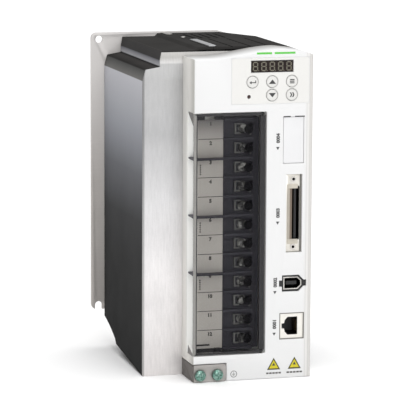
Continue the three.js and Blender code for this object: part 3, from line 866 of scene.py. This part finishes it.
def make_terminal_labels():
    """A number for each terminal and a line between neighbours."""
    low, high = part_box("terminal_label_carrier")
    heights = terminal_heights()
    pitch = heights[0] - heights[1]
    bm = bmesh.new()
    for index, z in enumerate(heights):
        centre = Vector(((low.x + high.x) / 2, low.y - 0.03 * MM, z + pitch * 0.28))
        text_shape(bm, str(index + 1), centre, 2.3, 0.06, bold=0.2)
        if index < len(heights) - 1:
            edge = z - pitch / 2
            add_box(bm, (low.x, low.y - 0.05 * MM, edge - 0.22 * MM),
                    (high.x, low.y + 0.1 * MM, edge + 0.22 * MM))
    fix_normals(bm)
    marks = make_object("terminal_numbers", bm, ink_soft)


def make_clamps():
    """A bent wire clamp, a round test hole painted black as shade and a small contact nib in each
    terminal cell.
    """
    face_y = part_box("terminal_screw_1")[0].y
    profile = [(0, -1.0), (3.0, -1.0), (3.0, 0.5), (2.8, 0.6), (2.5, 0.3), (0, 0.1)]
    for number in TERMINALS:
        middle = box_centre(f"terminal_screw_{number}")
        cell = Vector((middle.x, face_y, middle.z))
        bm = bmesh.new()
        add_block(bm, cell, (-5.9, 0.4, -3.6), (-4.7, 2.3, 3.6))
        for edge in (-3.2, 3.2):
            add_block(bm, cell, (-5.9, 0.9, edge - 0.45), (-1.6, 2.3, edge + 0.45))
        nib = Matrix.Translation(cell + Vector((5.2, 0.2, -3.9)) * MM)
        bmesh.ops.create_icosphere(bm, subdivisions=2, radius=0.75 * MM, matrix=nib)
        clamp = make_object(f"wire_clamp_{number}", bm, clamp_steel)
        bevel(clamp, 0.15)
        # painted shade: a black disc stands for the shaded inside of the test hole
        bm = bmesh.new()
        place = Matrix.Translation(cell + Vector((3.9, -0.1, -0.4)) * MM) @ FACING_FRONT
        add_turned(bm, [(radius * MM, height * MM) for radius, height in profile], place)
        fix_normals(bm)
        hole = make_object(f"test_hole_{number}", bm, hole_shade_black)


def make_cover_rim():
    """The cover's edges, dark where light has to pass through more plastic, and a grey strip as a painted
    highlight along its left edge.
    """
    low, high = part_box("terminal_cover")
    start, end = low.x + 1.9 * MM, high.x - 2.6 * MM
    y0, y1 = low.y + 0.35 * MM, low.y + 1.5 * MM
    bm = bmesh.new()
    add_box(bm, (start, y0, low.z + 1 * MM), (low.x + 2.5 * MM, y1, high.z - 1 * MM))
    add_box(bm, (start, y0, high.z - 1.9 * MM), (end, y1, high.z - 0.3 * MM))
    add_box(bm, (start, y0, low.z + 0.3 * MM), (end, y1, low.z + 1.7 * MM))
    add_box(bm, (high.x - 3.9 * MM, low.y + 1.0 * MM, low.z + 2.4 * MM),
            (high.x - 0.5 * MM, low.y + 2.4 * MM, high.z - 2.4 * MM))
    rim = make_object("cover_rim", bm, cover_rim, "cover")
    # painted highlight: a light grey strip along the cover's left edge
    bm = bmesh.new()
    add_box(bm, (low.x + 0.1 * MM, y0, low.z + 1 * MM), (start, y1, high.z - 1 * MM))
    edge = make_object("cover_left_rim", bm, rim_highlight_grey, "cover")
    bevel(edge, 0.2)


def make_recess_webs():
    """Two corner webs at the left of the terminal recess, one at its top and one at its bottom, grey as
    painted shade.
    """
    low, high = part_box("terminal_cover")
    webs = (          # name, height of the recess's end, then mm behind the front and mm above that end
        ("upper", high.z + 0.3 * MM, ((2.4, 0), (14, 0), (14, -1.0), (2.4, -8.4))),
        ("lower", low.z - 0.3 * MM, ((2.4, 0), (2.4, 1.6), (13, 5.8), (13.8, 0))),
    )
    for name, end, corners in webs:
        bm = bmesh.new()
        loops = []
        for x in (low.x + 0.01 * MM, low.x - 0.05 * MM):
            loops.append([bm.verts.new((x, housing_low.y + y * MM, end + z * MM)) for y, z in corners])
        near, far = loops
        bm.faces.new(near)
        bm.faces.new(list(reversed(far)))
        bridge(bm, far, near)
        fix_normals(bm)
        web = make_object("recess_web_" + name, bm, web_shade_grey)


def make_carrier_details():
    """Dark notches above the first label, a slot and a dark strip of painted shadow below the last one,
    and a mark beside each group.
    """
    low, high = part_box("terminal_label_carrier")
    front, back = low.y - 0.12 * MM, low.y + 0.1 * MM
    bm = bmesh.new()
    for x0, x1 in ((-1.0, 4.6), (11.4, 17.6)):
        add_box(bm, (low.x + x0 * MM, front, high.z - 0.2 * MM),
                (low.x + x1 * MM, low.y + 1 * MM, high.z + 3.6 * MM))
    left = low.x - 3 * MM
    add_box(bm, (left, front, low.z + 3.0 * MM), (low.x + 8.6 * MM, back, low.z + 4.2 * MM))
    # painted shadow: a dark strip under the last label
    add_box(bm, (left, front, low.z - 1.6 * MM), (high.x, back, low.z + 1.2 * MM))
    for number in (3, 6, 9):
        middle = box_centre(f"terminal_screw_{number}").z
        for part in range(5):
            z = middle + (1.5 - part * 1.5) * MM
            add_box(bm, (low.x + 1.2 * MM, front, z), (low.x + 2.1 * MM, back, z + 0.9 * MM))
    details = make_object("carrier_details", bm, cover_rim)


# ------------------------------------------------------------------ top


def make_top_details():
    """A screw head and an oval cap on top, behind the seam strip."""
    low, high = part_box("top_seam_strip")
    middle = (low.x + high.x) / 2
    bm = bmesh.new()
    place = Matrix.Translation((middle - 2 * MM, high.y + 19 * MM, low.z))
    profile = [(0, -0.2), (1.7, -0.2), (1.7, 0.3), (1.2, 0.6), (0, 0.65)]
    add_turned(bm, [(radius * MM, height * MM) for radius, height in profile], place)
    fix_normals(bm)
    screw = make_object("top_screw", bm, bright_steel)
    smooth(screw)
    bm = bmesh.new()
    centre = Vector((middle - 5.5 * MM, high.y + 50 * MM, low.z - 0.2 * MM))
    outline = []
    for angle in [tau * i / 24 for i in range(24)]:
        shift = 6 if sin(angle) >= 0 else -6
        outline.append((cos(angle) * 2.6, sin(angle) * 2.6 + shift))
    top = [bm.verts.new(centre + Vector((x, y, 0.6)) * MM) for x, y in outline]
    base = [bm.verts.new(centre + Vector((x, y, 0)) * MM) for x, y in outline]
    bm.faces.new(top)
    bm.faces.new(list(reversed(base)))
    bridge(bm, top, base)
    fix_normals(bm)
    cap = make_object("rear_cap", bm, bright_steel)
    bevel(cap, 0.2)


# ------------------------------------------------------------------ sockets


def make_control_contacts():
    """Two rows of contacts on the control connector's tongue and a nut at each end of its shell."""
    low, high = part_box("control_connector_tongue")
    bm = bmesh.new()
    count = 25
    step = (high.z - low.z - 2 * MM) / (count - 1)
    for i in range(count):
        z = low.z + 1 * MM + i * step
        for x0, x1 in ((low.x - 0.12 * MM, low.x + 0.1 * MM), (high.x - 0.1 * MM, high.x + 0.12 * MM)):
            add_box(bm, (x0, low.y + 0.6 * MM, z - 0.28 * MM), (x1, high.y - 0.2 * MM, z + 0.28 * MM))
    contacts = make_object("control_contacts", bm, contact_bronze)
    shell_low, shell_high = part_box("control_connector_shell")
    for name, z in (("upper", shell_high.z - 3.3 * MM), ("lower", shell_low.z + 3.3 * MM)):
        bm = bmesh.new()
        centre = Vector(((shell_low.x + shell_high.x) / 2, shell_low.y - 0.5 * MM, z))
        add_ring(bm, centre, 2.0 * MM, 1.1 * MM, 1.4 * MM, sides=6)
        fix_normals(bm)
        nut = make_object("jack_nut_" + name, bm, bright_steel)
        bevel(nut, 0.1)


def make_connector_shroud():
    """The control connector's rolled inner wall as a lit and a shaded band of painted light and shade,
    its latches and a dark strip of painted shadow in the gap at its right and below.
    """
    low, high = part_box("control_connector_shell")
    width = high.x - low.x
    height = high.z - low.z

    def at(across, up, proud):
        """A point on the face, in parts of its width and height; proud stands out, in mm."""
        return Vector((low.x + width * across, low.y - proud * MM, low.z + height * up))

    # painted light: the lit part of the rolled inner wall
    bm = bmesh.new()
    add_box(bm, at(0.10, 0.165, 0.35), at(0.27, 0.815, -0.3))
    light = make_object("shroud_outer", bm, shroud_painted_lit)
    bevel(light, 0.15)
    # painted shade: the shaded part of the same wall
    bm = bmesh.new()
    add_box(bm, at(0.27, 0.165, 0.3), at(0.41, 0.815, -0.3))
    dark = make_object("shroud_inner", bm, shroud_painted_shade)
    bevel(dark, 0.1)
    bm = bmesh.new()
    for z0, z1 in ((0.10, 0.165), (0.815, 0.875)):
        add_box(bm, at(0.10, z0, 0.35), at(0.80, z1, -0.3))
    latches = make_object("connector_latches", bm, latch_metal)
    bevel(latches, 0.3)
    # painted shadow: dark strips in the gap at the connector's right and below
    bm = bmesh.new()
    add_box(bm, at(0.91, 0.0, 0.12), at(1.02, 1.0, -0.3))
    add_box(bm, at(0.0, -0.012, 0.12), at(0.91, 0.0, -0.3))
    gap = make_object("connector_gap_shadow", bm, gap_shadow_grey)


def make_jack_gap_shadow():
    """A dark frame of painted shadow in the gap round the network jack."""
    low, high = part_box("network_jack")
    bm = bmesh.new()
    edge = Vector((0.6, 0, 0.6)) * MM
    start = Vector((low.x, housing_low.y - 0.05 * MM, low.z)) - edge
    add_frame(bm, start, high + edge, 0.6 * MM, 0.5 * MM)
    gap = make_object("jack_gap_shadow", bm, gap_shadow_grey)


def make_bus_surround():
    """The black collar that fills the gap round the bus socket's metal shell."""
    low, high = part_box("bus_socket_shell")
    centre = (low + high) / 2
    y = low.y

    def ring(grow, depth):
        """The shell's outline with its two cut corners, grown and moved back, in mm."""
        w = (high.x - low.x) / 2 + grow * MM
        h = (high.z - low.z) / 2 + grow * MM
        cut = (2.8 + grow * 0.6) * MM
        pairs = [(-w, -h), (w - cut, -h), (w, -h + cut), (w, h - cut), (w - cut, h), (-w, h)]
        return [bm.verts.new((centre.x + a, y + depth * MM, centre.z + b)) for a, b in pairs]

    bm = bmesh.new()
    bridge_around(bm, [ring(0.1, 0.2), ring(1.2, 0.2), ring(1.2, 3), ring(0.1, 3)])
    for x0, x1 in ((low.x - 3.3 * MM, low.x - 1.2 * MM), (high.x + 1.2 * MM, high.x + 3.0 * MM)):
        add_box(bm, (x0, y + 0.2 * MM, centre.z - 2.1 * MM), (x1, y + 3 * MM, centre.z + 2.1 * MM))
    fix_normals(bm)
    collar = make_object("bus_collar", bm, socket_black)


def make_bus_contacts():
    """Three contacts on each side of the bus socket's tongue."""
    low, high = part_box("bus_socket_tongue")
    count = 3
    bm = bmesh.new()
    for i in range(count):
        x = low.x + (i + 0.5) * (high.x - low.x) / count
        for z in (low.z - 0.08 * MM, high.z - 0.08 * MM):
            add_box(bm, (x - 0.5 * MM, low.y + 0.5 * MM, z),
                    (x + 0.5 * MM, high.y - 0.2 * MM, z + 0.16 * MM))
    contacts = make_object("bus_contacts", bm, contact_bronze)


def make_jack_contacts():
    """The network jack's eight spring contacts and the wall at the back of its mouth."""
    low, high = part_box("network_jack")
    middle = (low.z + high.z) / 2
    count = 8
    pitch = 1.02
    bm = bmesh.new()
    for i in range(count):
        z = middle + (i - (count - 1) / 2) * pitch * MM
        start = Vector((high.x - 4.1 * MM, low.y + 2.5 * MM, z))
        add_box(bm, start + Vector((0, 0, -0.18 * MM)), start + Vector((0.25 * MM, 8 * MM, 0.18 * MM)))
    contacts = make_object("jack_contacts", bm, contact_gold)
    bm = bmesh.new()
    add_box(bm, (low.x + 1.6 * MM, high.y - 8.2 * MM, middle - 5.8 * MM),
            (high.x - 4.0 * MM, high.y - 7.6 * MM, middle + 5.8 * MM))
    back = make_object("jack_back_wall", bm, socket_black)
    bevel(back, 0.1)


# ------------------------------------------------------------------ studio


def area_light(name, place, aim, size, power):
    data = bpy.data.lights.new(name, "AREA")
    data.shape = "RECTANGLE"
    data.size, data.size_y = size
    data.energy = power
    lamp = bpy.data.objects.new(name, data)
    lamp.location = place
    lamp.rotation_euler = (Vector(aim) - Vector(place)).to_track_quat("-Z", "Y").to_euler()
    scene.collection.objects.link(lamp)


def make_studio():
    """A pale floor, an even white surround, one large light in front and a soft one overhead."""
    bm = bmesh.new()
    bmesh.ops.create_grid(bm, x_segments=1, y_segments=1, size=6)
    mesh = bpy.data.meshes.new("floor")
    bm.to_mesh(mesh)
    bm.free()
    n = Nodes("floor_paint")
    n.color(n.ramp(n.noise(0.7, 2), [(0.3, (0.97, 0.97, 0.97)), (0.7, (0.985, 0.985, 0.985))]))
    n.set(Roughness=0.85)
    mesh.materials.append(n.material)
    floor = bpy.data.objects.new("floor", mesh)
    scene.collection.objects.link(floor)

    world = bpy.data.worlds.new("studio")
    world.use_nodes = True
    world.node_tree.nodes["Background"].inputs["Color"].default_value = (1, 1, 1, 1)
    world.node_tree.nodes["Background"].inputs["Strength"].default_value = 0.44
    scene.world = world
    area_light("key", place=(0.1, -2.4, 1.2), aim=(0, 0, 0.11), size=(1.3, 1.3), power=20)
    sun = bpy.data.lights.new("overhead", "SUN")
    sun.energy = 2.3
    sun.angle = radians(70)
    overhead = bpy.data.objects.new("overhead", sun)
    scene.collection.objects.link(overhead)
    scene.view_settings.view_transform = "Standard"
    scene.view_settings.look = "None"


def make_camera(azimuth, elevation, roll, distance, lens):
    """Looks at the middle of the drive; azimuth 0 looks along +Y."""
    low, high = cad_box
    aim = (Vector(low) + Vector(high)) / 2 + Vector((0.8, 0, 1.2)) * MM
    data = bpy.data.cameras.new("camera")
    data.lens = lens
    data.sensor_width = 36
    data.clip_end = 50
    camera = bpy.data.objects.new("camera", data)
    direction = Vector((sin(azimuth) * cos(elevation), -cos(azimuth) * cos(elevation), sin(elevation)))
    camera.location = aim + direction * distance
    look = (-direction).to_track_quat("-Z", "Y").to_matrix().to_4x4()
    camera.rotation_euler = (look @ Matrix.Rotation(roll, 4, "Z")).to_euler()
    scene.collection.objects.link(camera)
    scene.camera = camera


# ------------------------------------------------------------------ build

finish_cad_nodes()
make_shells()
make_keypad_seat()
make_key_marks()
make_display_digits()
make_front_stripe()
make_triangles()
make_earth_symbol()
make_socket_captions()
make_terminal_labels()
make_clamps()
make_cover_rim()
make_recess_webs()
make_carrier_details()
make_top_details()
make_control_contacts()
make_connector_shroud()
make_jack_gap_shadow()
make_bus_surround()
make_bus_contacts()
make_jack_contacts()
make_studio()
make_camera(azimuth=radians(-15.9), elevation=radians(8.75), roll=radians(0.27), distance=1.883, lens=243)
